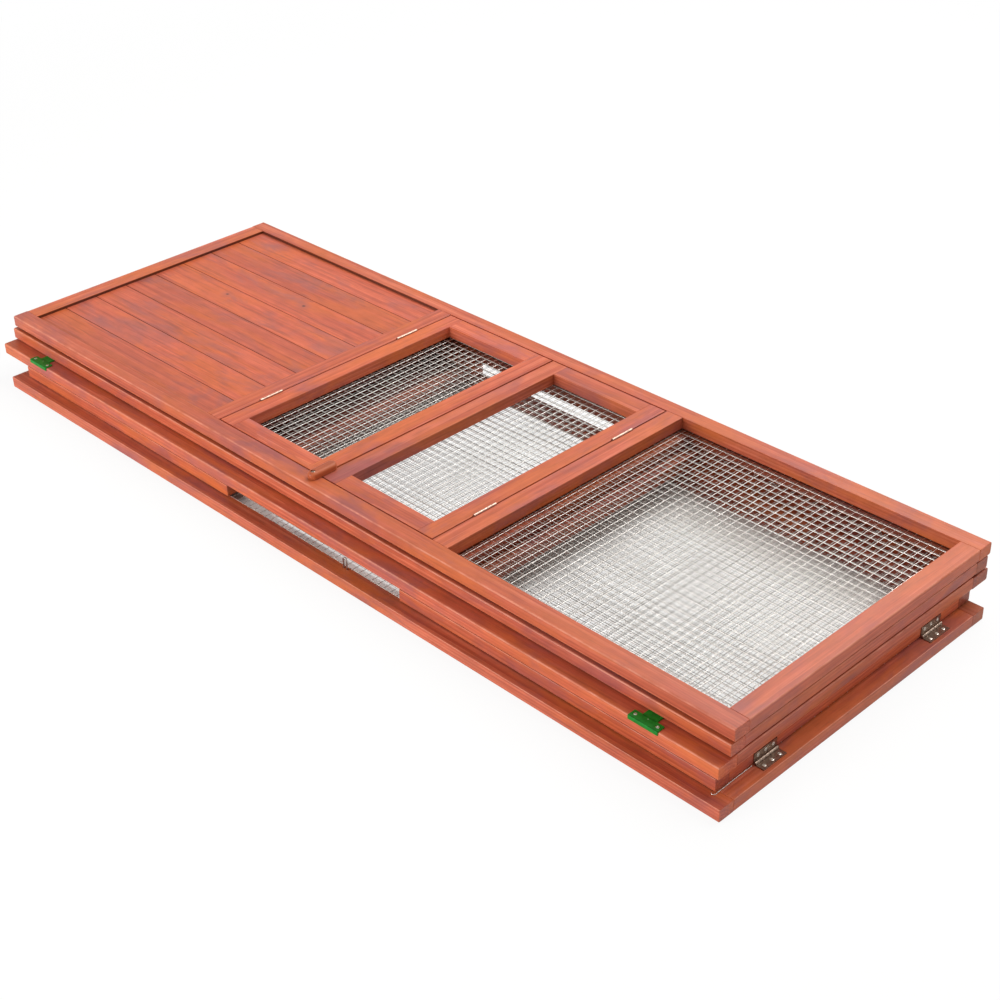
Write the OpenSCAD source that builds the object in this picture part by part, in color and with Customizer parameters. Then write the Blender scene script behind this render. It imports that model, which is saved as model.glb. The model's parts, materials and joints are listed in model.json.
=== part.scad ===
// Folding run for small animals, stored flat: base, two end walls, roof, back wall and
// front wall lie on each other. X runs along the run, Y from its front to its back, Z up.
// Every frame is drawn from its own lower front left corner and then set in the stack.

/* [Frames] */
// Length of the roof, the back wall and the front wall
panel_l = 1500; // [1450:1:1550]
// Thickness of every wooden frame
frame_t = 18; // [16:0.5:24]
// Flat taken off the long edges of a rail
ease = 1.5; // [0.5:0.25:2]
// Gap between a net and the frame that lies on it
lay_gap = 0.2; // [0.2:0.1:1]
// Gap between the folded end walls and the roof
roof_gap = 0.3; // [0.3:0.1:2]

/* [Base] */
// How much shorter the base is than the roof and the walls
base_short = 24; // [0:1:100]
// Width of the base, front to back
base_w = 529; // [510:1:550]
// Width of the base's rails
base_rail = 25; // [22:1:40]
// How far the floor net laps onto the base's rails
floor_lap = 3; // [2:0.5:8]

/* [End walls] */
// Height of an end wall, which lies along the base when folded
end_h = 531; // [450:1:600]
// Width of an end wall's rails
end_rail = 25; // [20:1:35]
// Ledge of the base left free past each end wall
end_ledge = 22; // [20:0.5:30]
// Ledge of the base left free in front of the end walls
front_ledge = 18.6; // [18:0.2:24]
// Ledge of the base left free behind the end walls
back_ledge = 1.4; // [0.4:0.2:10]

/* [Roof] */
// Width of the roof, front to back
roof_w = 540.5; // [520:0.5:560]
// Width of the roof's front and back rails
roof_rail = 33; // [32:1:40]
// Width of the roof's end rails
roof_end_rail = 25; // [20:1:40]
// How far the roof's left end reaches past the base's
roof_left = 42.5; // [20:0.5:60]
// How far the roof's front edge lies behind the base's
roof_front = 18.5; // [10:0.5:30]
// Length of the roof's planked bay
roof_nest_bay = 464; // [400:1:480]
// Length of the roof's middle bay
roof_mid_bay = 497; // [400:1:520]

/* [Back wall] */
// Height of the back wall, which lies front to back when folded
back_w = 516.5; // [500:0.5:530]
// Width of the back wall's long rails
back_rail = 25; // [20:1:40]
// How far the back wall's left end reaches past the base's
back_left = 43.5; // [20:0.5:60]
// How far the back wall's front edge lies behind the base's
back_front = 40; // [35:0.5:60]
// Length of the back wall's planked bay
back_nest_bay = 461; // [400:1:480]
// Length of the back wall's middle bay
back_mid_bay = 475.5; // [400:0.5:520]

/* [Front wall] */
// Height of the front wall, which lies front to back when folded
front_w = 514; // [500:1:530]
// Width of the front wall's long rails
front_rail = 26; // [26:1:40]
// How far the front wall's left end reaches past the base's
front_left = 41.5; // [20:0.5:60]
// How far the front wall's front edge lies behind the base's
front_front = 43; // [35:0.5:60]
// Length of the front wall's planked bay
nest_bay = 461; // [400:1:480]
// Length of the bay that holds the two doors
door_bay = 458; // [400:1:480]
// Width of the upright stiles at the ends of the front and back walls
stile_w = 29.5; // [24:0.5:40]
// Width of the dividers between bays
divider_w = 29; // [24:0.5:40]

/* [Planks] */
// Number of planks in a planked bay
plank_n = 8; // [4:1:12]
// Thickness of a plank
plank_t = 9; // [6:0.5:10]
// How far the planks lie below the frame's outer face
plank_drop = 5; // [4:0.5:7]
// Depth of the groove that holds the planks
groove = 5; // [3:0.5:8]
// Clearance of a plank in its groove
plank_fit = 0.1; // [0.05:0.05:0.3]
// Gap between neighbouring planks
plank_gap = 0.4; // [0.2:0.1:1.5]
// Bevel on a plank's outer edges
plank_bevel = 1.2; // [0.5:0.1:2.5]

/* [Nets] */
// Thickness of a net
net_t = 1.6; // [1:0.1:2]
// Width of a net's bars
net_bar = 1.2; // [0.8:0.1:2]
// Spacing of the real net's wires
wire_pitch = 12.7; // [10:0.1:20]
// One bar of a near net stands for this many wires
near_wire_n = 3; // [3:1:6]
// One bar of a far net stands for this many wires
far_wire_n = 8; // [7:1:12]
// How far the walls' and doors' nets lap onto their rails
net_lap = 8; // [4:0.5:12]
// Clearance round a net that is let into a rebate
net_fit = 0.1; // [0.1:0.1:0.5]

/* [Doors] */
// Gap round the doors
door_gap = 2; // [1.6:0.1:3]
// Gap between the two doors
meet_gap = 3; // [2:0.1:5]
// Width of a door's stile on its hinge side
hinge_stile = 28; // [22:1:40]
// Width of a door's stile where the doors meet
meet_stile = 30; // [22:1:40]
// Width of a door's top and bottom rails
door_rail = 30; // [22:1:40]

/* [Door hinges] */
// Length of a door hinge
door_hinge_l = 41; // [30:1:60]
// Width of a door hinge's leaf below its pin
door_leaf_w = 13; // [10:0.5:15]
// Distance of a door hinge from the middle of the door
door_hinge_off = 135; // [80:1:160]
// Height of a door hinge's pin above the wall's outer face
door_pin_up = 0.4; // [0.2:0.1:1]
// How far a door hinge's leaf stands out of the wood into the gap
leaf_proud = 0.3; // [0.1:0.1:0.5]

/* [End wall hinges] */
// Length of an end wall's hinge
end_hinge_l = 42; // [30:1:60]
// Width of an end wall hinge's leaf, from its pin
end_leaf_w = 13.5; // [12:0.5:15]
// Distance from an end wall's side to the middle of its hinge
end_hinge_in = 88.5; // [60:0.5:130]
// Distance from an end wall's edge, and from the base's top, to the hinge pin
end_pin_out = 2.5; // [2.5:0.1:2.8]
// Number of screws in a leaf
leaf_screws = 3; // [2:1:4]

/* [Hinge metal] */
// Radius of a hinge's knuckles
knuckle_r = 2.2; // [1.8:0.1:2.2]
// Radius of a hinge's pin
pin_r = 1; // [0.8:0.1:1.2]
// Thickness of a hinge's leaf
leaf_t = 1.2; // [1:0.1:1.3]
// Number of knuckles in a hinge
knuckle_n = 5; // [3:2:7]
// Gap between neighbouring knuckles
knuckle_gap = 0.3; // [0.2:0.1:0.6]
// Room that one leaf leaves round the other leaf's knuckles
knuckle_room = 0.3; // [0.3:0.1:0.6]
// Radial clearance round a pin or a screw
pin_fit = 0.05; // [0.03:0.01:0.1]

/* [Screws] */
// Radius of a small screw's shank
screw_r = 1.4; // [1:0.1:1.6]
// Radius of a small screw's head
head_r = 2.6; // [2.2:0.1:3]
// How far a small screw reaches into the wood
screw_in = 9; // [6:0.5:14]

/* [Turn button] */
// Length of the turn button
button_l = 47; // [42:1:60]
// Width of the turn button
button_w = 16; // [12:0.5:16]
// Thickness of the turn button
button_t = 10; // [8:0.5:14]
// Gap under the turn button
button_gap = 0.3; // [0.2:0.1:1]
// Distance from the wall's front edge to the button's screw
button_in = 18; // [17:0.5:18]
// How far the button's screw lies left of the doors' gap
button_off = 2; // [0:0.5:4]
// Radius of the button screw's shank
button_screw_r = 2; // [1.5:0.1:2.5]
// Radius of the button screw's head
button_head_r = 3.6; // [3:0.1:4.5]
// Thickness of the button screw's head
button_head_t = 2.2; // [1.5:0.1:3]
// How deep the head sits below the button's top
button_sink = 0.4; // [0.2:0.1:1]
// How far the button's screw reaches into the rail
button_screw_in = 14; // [10:0.5:16]

/* [Edge clips] */
// Length of a clip along the roof's edge
clip_l = 46; // [36:1:60]
// Width of a clip's strip
clip_w = 12; // [10:0.5:16]
// Thickness of a clip
clip_t = 1.4; // [1:0.1:1.4]
// How far a clip's lip hangs down over the edge
clip_lip = 4.5; // [2:0.5:10]
// Width of a clip's tab
tab_w = 22; // [14:1:30]
// Distance from the end of a clip's tab to the roof's net
tab_clear = 1.5; // [1:0.5:3]
// Distance from the roof's left end to the left clip's middle
left_clip_in = 103; // [60:0.5:200]
// Distance from the roof's right end to the right clip's middle
right_clip_in = 112; // [60:0.5:200]
// Distance from a clip's middle to its screw holes
clip_hole_off = 17; // [14:0.5:17]

/* [Catch] */
// Distance from the folded right end wall to the catch
catch_off = 109.5; // [40:0.5:200]
// Distance from the floor net's edge to the catch
catch_clear = 3; // [2:0.5:5]
// Gap between the catch and the roof above it
catch_gap = 1.6; // [0.6:0.2:6]
// Width of the catch over its legs
catch_w = 9; // [8:0.5:12]
// Radius of the catch's wire
catch_r = 1; // [0.8:0.1:1.2]
// How far the catch's legs reach into the base
catch_in = 9; // [5:0.5:14]

/* [Hidden] */
$fn = 48;
over = 1;

wood = "#c9694f";
plank_wood = "#c4654c";
steel = "#b4b2aa";
green = "#128a3a";

// Length of the base, width of the end walls, and heights of the frames in the stack
base_l = panel_l - base_short;
end_w = base_w - front_ledge - back_ledge;
end_z = frame_t + net_t + lay_gap;
roof_z = end_z + frame_t + roof_gap;
back_z = roof_z + frame_t + net_t + lay_gap;
front_z = back_z + frame_t + 2 * net_t + lay_gap;

// Middle of the whole stack in plan, where the origin lies
stack_x0 = -max(roof_left, back_left, front_left, 0);
stack_x1 = max(base_l, panel_l - min(roof_left, back_left, front_left));
stack_y1 = max(base_w, front_ledge + end_w, roof_front + roof_w, back_front + back_w,
               front_front + front_w);
stack_mid = [(stack_x0 + stack_x1) / 2, stack_y1 / 2, 0];

// Lengths between the long rails, and bays counted from each frame's left end
end_inner = end_w - 2 * end_rail;
end_between = end_h - 2 * end_rail;
back_run_x = stile_w + back_nest_bay + divider_w + back_mid_bay;
roof_run_x = roof_end_rail + roof_nest_bay + divider_w + roof_mid_bay;
doors_x = stile_w + nest_bay + divider_w;
run_x = doors_x + door_bay + divider_w;
run_bay = panel_l - stile_w - run_x;
door_w = (door_bay - 2 * door_gap - meet_gap) / 2;
door_h = front_w - 2 * front_rail - 2 * door_gap;
door_stiles = hinge_stile + meet_stile;

// Pins and screws
end_mid_y = front_ledge + end_w / 2;
end_hinge_off = end_w / 2 - end_hinge_in;
end_pin_x = end_ledge - end_pin_out;
door_pin_z = frame_t + door_pin_up;
door_pin_xs = [doors_x + door_gap / 2, doors_x + door_bay - door_gap / 2];
button_x = doors_x + door_gap + door_w + meet_gap / 2 - button_off;
leaf_screw_x = (end_pin_out + end_leaf_w) / 2;

// Small metal and plastic pieces
catch_x = base_l - end_ledge - end_h - catch_off;
catch_y = base_rail - floor_lap - catch_clear;
catch_h = roof_z - frame_t - catch_gap;
tab_l = roof_rail - net_lap - tab_clear;

// Places a frame in the stack by its lower front left corner
module in_stack(corner) {
    translate(corner - stack_mid) children();
}

module on_base() {
    in_stack([0, 0, 0]) children();
}

module on_left_end() {
    in_stack([end_ledge, front_ledge, end_z]) children();
}

module on_right_end() {
    in_stack([base_l - end_ledge - end_h, front_ledge, end_z]) children();
}

module on_roof() {
    in_stack([-roof_left, roof_front, roof_z]) children();
}

module on_back_wall() {
    in_stack([-back_left, back_front, back_z]) children();
}

module on_front_wall() {
    in_stack([-front_left, front_front, front_z]) children();
}

module on_left_door() {
    on_front_wall() translate([doors_x + door_gap, front_rail + door_gap, 0]) children();
}

// The right door is the left one mirrored, drawn from its own hinge side
module on_right_door() {
    on_front_wall()
        translate([doors_x + door_bay - door_gap, front_rail + door_gap, 0])
            mirror([1, 0, 0]) children();
}

// Section of a sawn rail, with its long edges eased
module rail_section(w) {
    polygon([
        [ease, 0], [w - ease, 0], [w, ease], [w, frame_t - ease],
        [w - ease, frame_t], [ease, frame_t], [0, frame_t - ease], [0, ease]
    ]);
}

// Rail of length l and width w that lies along X
module rail_x(l, w) {
    color(wood) rotate([90, 0, 90]) linear_extrude(l) rail_section(w);
}

// Rail of length l and width w that lies along Y
module rail_y(l, w) {
    color(wood) translate([0, l, 0]) rotate([90, 0, 0]) linear_extrude(l) rail_section(w);
}

// Planks side by side along Y, each of length l along X, over a total width w
module planks_x(l, w) {
    step = w / plank_n;
    for (i = [0 : plank_n - 1])
        color(plank_wood)
            translate([0, i * step + plank_gap / 2, 0])
                rotate([90, 0, 90])
                    linear_extrude(l)
                        polygon([
                            [0, 0], [step - plank_gap, 0],
                            [step - plank_gap, plank_t - plank_bevel],
                            [step - plank_gap - plank_bevel, plank_t],
                            [plank_bevel, plank_t], [0, plank_t - plank_bevel]
                        ]);
}

// Planks that fill a bay of l by w, drawn from the bay's lower corner
module bay_planks(l, w) {
    translate([plank_fit - groove, plank_fit - groove, frame_t - plank_drop - plank_t])
        planks_x(l + 2 * (groove - plank_fit), w + 2 * (groove - plank_fit));
}

// Room for those planks, cut as grooves into the rails round the bay
module plank_room(l, w) {
    translate([-groove, -groove, frame_t - plank_drop - plank_t - plank_fit])
        cube([l + 2 * groove, w + 2 * groove, plank_t + 2 * plank_fit]);
}

// Flat net of l by w, whose bars stand for every step-th wire of the real one
module net(l, w, step) {
    nx = floor((l - net_bar) / (wire_pitch * step));
    ny = floor((w - net_bar) / (wire_pitch * step));
    px = (l - net_bar) / nx;
    py = (w - net_bar) / ny;
    color(steel)
        linear_extrude(net_t)
            difference() {
                square([l, w]);
                for (i = [0 : nx - 1], j = [0 : ny - 1])
                    translate([net_bar + i * px, net_bar + j * py])
                        square([px - net_bar, py - net_bar]);
            }
}

// Net over a bay of l by w, lapped onto the rails round it
module bay_net(l, w, lap, step) {
    translate([-lap, -lap, 0]) net(l + 2 * lap, w + 2 * lap, step);
}

// Knuckles of a hinge of length l along Y, every second one from the first given
module knuckles(l, first, r, gap) {
    step = l / knuckle_n;
    for (i = [first : 2 : knuckle_n - 1])
        translate([0, i * step - l / 2 + gap / 2, 0])
            rotate([-90, 0, 0]) cylinder(r = r, h = step - gap);
}

// Leaf of a hinge round its pin, which lies along Y. The plate reaches w out along X,
// and its outer face lies drop below the pin.
module leaf(l, w, drop, first) {
    color(steel)
        difference() {
            union() {
                difference() {
                    translate([0, -l / 2, -drop]) cube([w, l, leaf_t]);
                    knuckles(l, 1 - first, knuckle_r + knuckle_room, -knuckle_gap);
                }
                knuckles(l, first, knuckle_r, knuckle_gap);
            }
            translate([0, l / 2 + over, 0])
                rotate([90, 0, 0]) cylinder(r = pin_r + pin_fit, h = l + 2 * over);
        }
}

// Pin of a hinge of length l, along Y
module hinge_pin(l) {
    color(steel)
        translate([0, l / 2, 0])
            rotate([90, 0, 0]) cylinder(r = pin_r, h = l);
}

// Fixed leaf with its pin held in its own knuckles
module pinned_leaf(l, w, drop) {
    color(steel) {
        difference() {
            translate([0, -l / 2, -drop]) cube([w, l, leaf_t]);
            knuckles(l, 1, knuckle_r + knuckle_room, -knuckle_gap);
        }
        knuckles(l, 0, knuckle_r, knuckle_gap);
        hinge_pin(l);
    }
}

// Turns a leaf that lies flat into one that stands on its edge
module on_edge() {
    mirror([1, 0, -1]) children();
}

// Small countersunk screw whose head is flush with z = 0
module small_screw(fit) {
    translate([0, 0, -leaf_t]) cylinder(r1 = screw_r + fit, r2 = head_r + fit, h = leaf_t);
    translate([0, 0, -leaf_t - screw_in]) cylinder(r = screw_r + fit, h = screw_in + over / 4);
}

// Row of screw places along Y on a leaf of an end wall's hinge
module leaf_screw_places() {
    for (i = [0 : leaf_screws - 1])
        translate([leaf_screw_x, (i - (leaf_screws - 1) / 2) * end_hinge_l / leaf_screws,
                   leaf_t - end_pin_out])
            children();
}

// The four end wall hinges, with the pin along Y and the base's side of the leaf along X
module end_hinge_places(sides) {
    for (side = sides, s = [-1, 1])
        translate([side < 0 ? end_pin_x : base_l - end_pin_x, end_mid_y + s * end_hinge_off,
                   frame_t + end_pin_out])
            mirror([side < 0 ? 1 : 0, 0, 0]) children();
}

// The two hinges of each door, with the pin along Y and the door on the side of +X
module door_hinge_places(sides) {
    for (side = sides, s = [-1, 1])
        translate([door_pin_xs[side], front_w / 2 + s * door_hinge_off, door_pin_z])
            mirror([side, 0, 0]) children();
}

// Leaf of a door hinge, let into the edge of the wood on the side of +X
module door_leaf(pinned) {
    drop = door_gap / 2 - leaf_proud + leaf_t;
    if (pinned)
        mirror([1, 0, 0]) rotate([0, 90, 0]) pinned_leaf(door_hinge_l, door_leaf_w, -drop + leaf_t);
    else
        rotate([0, 90, 0]) leaf(door_hinge_l, door_leaf_w, -drop + leaf_t, 1);
}

// Room for a door hinge in the wood beside the gap
module door_hinge_room() {
    depth = door_gap / 2 - leaf_proud + leaf_t + pin_fit;
    translate([-depth, -door_hinge_l / 2, -door_leaf_w - pin_fit])
        cube([2 * depth, door_hinge_l, door_leaf_w + knuckle_r]);
    translate([0, door_hinge_l / 2, 0])
        rotate([90, 0, 0]) cylinder(r = knuckle_r + knuckle_room, h = door_hinge_l);
}

// Base

module base_front_rail() {
    on_base()
        difference() {
            rail_x(base_l, base_rail);
            for (s = [-1, 1])
                translate([catch_x + s * (catch_w / 2 - catch_r), catch_y, frame_t - catch_in])
                    cylinder(r = catch_r + pin_fit, h = catch_in + over);
        }
}

module base_back_rail() {
    on_base() translate([0, base_w - base_rail, 0]) rail_x(base_l, base_rail);
}

module base_end_rail(side) {
    difference() {
        translate([side < 0 ? 0 : base_l - base_rail, base_rail, 0])
            rail_y(base_w - 2 * base_rail, base_rail);
        end_hinge_places([side]) leaf_screw_places() small_screw(pin_fit);
    }
}

module base_left_rail() {
    on_base() base_end_rail(-1);
}

module base_right_rail() {
    on_base() base_end_rail(1);
}

module base_floor_net() {
    on_base()
        translate([base_rail, base_rail, frame_t])
            bay_net(base_l - 2 * base_rail, base_w - 2 * base_rail, floor_lap, far_wire_n);
}

module base_hinge_leaves() {
    color(steel)
        on_base()
            end_hinge_places([-1, 1])
                difference() {
                    pinned_leaf(end_hinge_l, end_leaf_w, end_pin_out);
                    leaf_screw_places() small_screw(pin_fit);
                }
}

module base_hinge_screws() {
    color(steel) on_base() end_hinge_places([-1, 1]) leaf_screw_places() small_screw(0);
}

module base_catch() {
    leg_x = catch_w / 2 - catch_r;
    color(steel)
        on_base()
            translate([catch_x, catch_y, frame_t]) {
                for (s = [-1, 1])
                    translate([s * leg_x, 0, -catch_in])
                        cylinder(r = catch_r, h = catch_in + catch_h - catch_w / 2);
                translate([0, 0, catch_h - catch_w / 2])
                    rotate([90, 0, 0])
                        rotate_extrude(angle = 180) translate([leg_x, 0]) circle(catch_r);
            }
}

// End walls, hinged at the base's ends. The foot rail is the one at the hinges.

module end_side_rail(back) {
    translate([0, back ? end_w - end_rail : 0, 0]) rail_x(end_h, end_rail);
}

module end_cross_rail(x) {
    translate([x, end_rail, 0]) rail_y(end_inner, end_rail);
}

module left_end_plank_room() {
    translate([end_rail, end_rail, 0]) plank_room(end_between, end_inner);
}

module left_end_front_rail() {
    on_left_end() difference() {
        end_side_rail(false);
        left_end_plank_room();
    }
}

module left_end_back_rail() {
    on_left_end() difference() {
        end_side_rail(true);
        left_end_plank_room();
    }
}

module left_end_foot_rail() {
    on_left_end() difference() {
        end_cross_rail(0);
        left_end_plank_room();
    }
}

module left_end_head_rail() {
    on_left_end() difference() {
        end_cross_rail(end_h - end_rail);
        left_end_plank_room();
    }
}

module left_end_planks() {
    on_left_end()
        translate([end_rail + end_between, end_rail, 0])
            rotate([0, 0, 90]) bay_planks(end_inner, end_between);
}

module end_leaves(side) {
    color(steel)
        on_base()
            end_hinge_places([side])
                on_edge()
                    difference() {
                        leaf(end_hinge_l, end_leaf_w, end_pin_out, 1);
                        leaf_screw_places() small_screw(pin_fit);
                    }
}

module left_end_hinge_leaves() {
    end_leaves(-1);
}

// The right end wall's net is let into its underside
module right_end_net_room() {
    room = net_lap + net_fit;
    translate([end_rail - room, end_rail - room, -over])
        cube([end_between + 2 * room, end_inner + 2 * room, net_t + net_fit + over]);
}

module right_end_front_rail() {
    on_right_end() difference() {
        end_side_rail(false);
        right_end_net_room();
    }
}

module right_end_back_rail() {
    on_right_end() difference() {
        end_side_rail(true);
        right_end_net_room();
    }
}

module right_end_foot_rail() {
    on_right_end() difference() {
        end_cross_rail(end_h - end_rail);
        right_end_net_room();
    }
}

module right_end_head_rail() {
    on_right_end() difference() {
        end_cross_rail(0);
        right_end_net_room();
    }
}

module right_end_net() {
    on_right_end()
        translate([end_rail, end_rail, net_fit])
            bay_net(end_between, end_inner, net_lap, far_wire_n);
}

module right_end_hinge_leaves() {
    end_leaves(1);
}

// Roof

module roof_plank_room() {
    translate([roof_end_rail, roof_rail, 0]) plank_room(roof_nest_bay, roof_w - 2 * roof_rail);
}

module roof_long_rail(y) {
    on_roof() difference() {
        translate([0, y, 0]) rail_x(panel_l, roof_rail);
        roof_plank_room();
    }
}

module roof_cross_rail(x, w) {
    on_roof() difference() {
        translate([x, roof_rail, 0]) rail_y(roof_w - 2 * roof_rail, w);
        roof_plank_room();
    }
}

module roof_front_rail() {
    roof_long_rail(0);
}

module roof_back_rail() {
    roof_long_rail(roof_w - roof_rail);
}

module roof_left_rail() {
    roof_cross_rail(0, roof_end_rail);
}

module roof_right_rail() {
    roof_cross_rail(panel_l - roof_end_rail, roof_end_rail);
}

module roof_nest_divider() {
    roof_cross_rail(roof_end_rail + roof_nest_bay, divider_w);
}

module roof_run_divider() {
    roof_cross_rail(roof_run_x, divider_w);
}

module roof_planks() {
    on_roof()
        translate([roof_end_rail, roof_rail, 0]) bay_planks(roof_nest_bay, roof_w - 2 * roof_rail);
}

module roof_net() {
    x0 = roof_end_rail + roof_nest_bay + divider_w;
    on_roof()
        translate([x0, roof_rail, frame_t])
            bay_net(panel_l - roof_end_rail - x0, roof_w - 2 * roof_rail, net_lap, far_wire_n);
}

// A clip's strip lies on the roof's front edge, its lip hangs over it, its tab runs back
module edge_clip() {
    difference() {
        union() {
            translate([-clip_l / 2, -clip_t, 0]) cube([clip_l, clip_w + clip_t, clip_t]);
            translate([-clip_l / 2, -clip_t, -clip_lip]) cube([clip_l, clip_t, clip_lip + clip_t]);
            translate([-tab_w / 2, 0, 0]) cube([tab_w, tab_l, clip_t]);
        }
        for (s = [-1, 1])
            translate([s * clip_hole_off, clip_w / 2, -over])
                cylinder(r = screw_r + pin_fit, h = clip_t + 2 * over);
    }
}

module roof_edge_clips() {
    color(green)
        on_roof()
            for (x = [left_clip_in, panel_l - right_clip_in])
                translate([x, 0, frame_t]) edge_clip();
}

// Back wall

module back_plank_room() {
    translate([stile_w, back_rail, 0]) plank_room(back_nest_bay, back_w - 2 * back_rail);
}

module back_long_rail(y) {
    on_back_wall() difference() {
        translate([0, y, 0]) rail_x(panel_l, back_rail);
        back_plank_room();
    }
}

module back_upright(x, w) {
    on_back_wall() difference() {
        translate([x, back_rail, 0]) rail_y(back_w - 2 * back_rail, w);
        back_plank_room();
    }
}

module back_wall_top_rail() {
    back_long_rail(0);
}

module back_wall_bottom_rail() {
    back_long_rail(back_w - back_rail);
}

module back_wall_left_stile() {
    back_upright(0, stile_w);
}

module back_wall_right_stile() {
    back_upright(panel_l - stile_w, stile_w);
}

module back_wall_nest_divider() {
    back_upright(stile_w + back_nest_bay, divider_w);
}

module back_wall_run_divider() {
    back_upright(back_run_x, divider_w);
}

module back_wall_planks() {
    on_back_wall()
        translate([stile_w, back_rail, 0]) bay_planks(back_nest_bay, back_w - 2 * back_rail);
}

module back_wall_net() {
    x0 = stile_w + back_nest_bay + divider_w;
    on_back_wall()
        translate([x0, back_rail, frame_t])
            bay_net(panel_l - stile_w - x0, back_w - 2 * back_rail, net_lap, far_wire_n);
}

// Front wall

module front_plank_room() {
    translate([stile_w, front_rail, 0]) plank_room(nest_bay, front_w - 2 * front_rail);
}

module front_upright(x, w) {
    translate([x, front_rail, 0]) rail_y(front_w - 2 * front_rail, w);
}

module front_wall_top_rail() {
    on_front_wall() difference() {
        rail_x(panel_l, front_rail);
        front_plank_room();
        translate([button_x, button_in, frame_t - button_screw_in])
            cylinder(r = button_screw_r + pin_fit, h = button_screw_in + over);
    }
}

module front_wall_bottom_rail() {
    on_front_wall() difference() {
        translate([0, front_w - front_rail, 0]) rail_x(panel_l, front_rail);
        front_plank_room();
    }
}

module front_wall_left_stile() {
    on_front_wall() difference() {
        front_upright(0, stile_w);
        front_plank_room();
    }
}

module front_wall_right_stile() {
    on_front_wall() front_upright(panel_l - stile_w, stile_w);
}

module front_wall_nest_divider() {
    on_front_wall() difference() {
        front_upright(stile_w + nest_bay, divider_w);
        front_plank_room();
        door_hinge_places([0]) door_hinge_room();
    }
}

module front_wall_run_divider() {
    on_front_wall() difference() {
        front_upright(doors_x + door_bay, divider_w);
        door_hinge_places([1]) door_hinge_room();
    }
}

module front_wall_planks() {
    on_front_wall()
        translate([stile_w, front_rail, 0]) bay_planks(nest_bay, front_w - 2 * front_rail);
}

module front_wall_net() {
    on_front_wall()
        translate([run_x, front_rail, -net_t])
            bay_net(run_bay, front_w - 2 * front_rail, net_lap, near_wire_n);
}

module front_wall_hinge_leaves() {
    color(steel) on_front_wall() door_hinge_places([0, 1]) door_leaf(true);
}

// Doors, each drawn from the lower front corner on its hinge side

module door_hinge_side() {
    difference() {
        rail_y(door_h, hinge_stile);
        for (s = [-1, 1])
            translate([-door_gap / 2, door_h / 2 + s * door_hinge_off, door_pin_z])
                door_hinge_room();
    }
}

module door_meeting_side() {
    translate([door_w - meet_stile, 0, 0]) rail_y(door_h, meet_stile);
}

module door_cross(y) {
    translate([hinge_stile, y, 0]) rail_x(door_w - door_stiles, door_rail);
}

module door_net() {
    translate([hinge_stile, door_rail, -net_t])
        bay_net(door_w - door_stiles, door_h - 2 * door_rail, net_lap, near_wire_n);
}

module left_door_hinge_stile() {
    on_left_door() door_hinge_side();
}

module left_door_meeting_stile() {
    on_left_door() door_meeting_side();
}

module left_door_top_rail() {
    on_left_door() door_cross(0);
}

module left_door_bottom_rail() {
    on_left_door() door_cross(door_h - door_rail);
}

module left_door_net() {
    on_left_door() door_net();
}

module left_door_hinge_leaves() {
    color(steel) on_front_wall() door_hinge_places([0]) door_leaf(false);
}

module right_door_hinge_stile() {
    on_right_door() door_hinge_side();
}

module right_door_meeting_stile() {
    on_right_door() door_meeting_side();
}

module right_door_top_rail() {
    on_right_door() door_cross(0);
}

module right_door_bottom_rail() {
    on_right_door() door_cross(door_h - door_rail);
}

module right_door_net() {
    on_right_door() door_net();
}

module right_door_hinge_leaves() {
    color(steel) on_front_wall() door_hinge_places([1]) door_leaf(false);
}

// Turn button over the gap between the doors, and the screw that it turns on

module turn_button() {
    r = button_w / 2;
    reach = button_l - button_w;
    head_z = button_t - button_sink - button_head_t;
    color(wood)
        on_front_wall()
            translate([button_x, button_in, frame_t + button_gap])
                difference() {
                    union() {
                        cylinder(r = r, h = button_t);
                        translate([0, reach, 0]) cylinder(r = r, h = button_t);
                        translate([-r, 0, 0]) cube([button_w, reach, button_t]);
                    }
                    translate([0, 0, -over])
                        cylinder(r = button_screw_r + pin_fit, h = button_t + 2 * over);
                    translate([0, 0, head_z - pin_fit])
                        cylinder(r = button_head_r + pin_fit, h = button_t);
                }
}

module turn_button_screw() {
    shank = button_screw_in + button_gap + button_t - button_sink - button_head_t;
    color(steel)
        on_front_wall()
            translate([button_x, button_in, frame_t - button_screw_in]) {
                cylinder(r = button_screw_r, h = shank);
                translate([0, 0, shank]) cylinder(r = button_head_r, h = button_head_t);
            }
}

base_front_rail();
base_back_rail();
base_left_rail();
base_right_rail();
base_floor_net();
base_hinge_leaves();
base_hinge_screws();
base_catch();
left_end_front_rail();
left_end_back_rail();
left_end_foot_rail();
left_end_head_rail();
left_end_planks();
left_end_hinge_leaves();
right_end_front_rail();
right_end_back_rail();
right_end_foot_rail();
right_end_head_rail();
right_end_net();
right_end_hinge_leaves();
roof_front_rail();
roof_back_rail();
roof_left_rail();
roof_right_rail();
roof_nest_divider();
roof_run_divider();
roof_planks();
roof_net();
roof_edge_clips();
back_wall_top_rail();
back_wall_bottom_rail();
back_wall_left_stile();
back_wall_right_stile();
back_wall_nest_divider();
back_wall_run_divider();
back_wall_planks();
back_wall_net();
front_wall_top_rail();
front_wall_bottom_rail();
front_wall_left_stile();
front_wall_right_stile();
front_wall_nest_divider();
front_wall_run_divider();
front_wall_planks();
front_wall_net();
front_wall_hinge_leaves();
left_door_hinge_stile();
left_door_meeting_stile();
left_door_top_rail();
left_door_bottom_rail();
left_door_net();
left_door_hinge_leaves();
right_door_hinge_stile();
right_door_meeting_stile();
right_door_top_rail();
right_door_bottom_rail();
right_door_net();
right_door_hinge_leaves();
turn_button();
turn_button_screw();
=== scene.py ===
"""Looks of the folded run: stained wood, round-wire nets, hinges, screws, clips and studio."""

import json
import math
import random

import bpy
import numpy as np
from mathutils import Matrix, Vector


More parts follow.
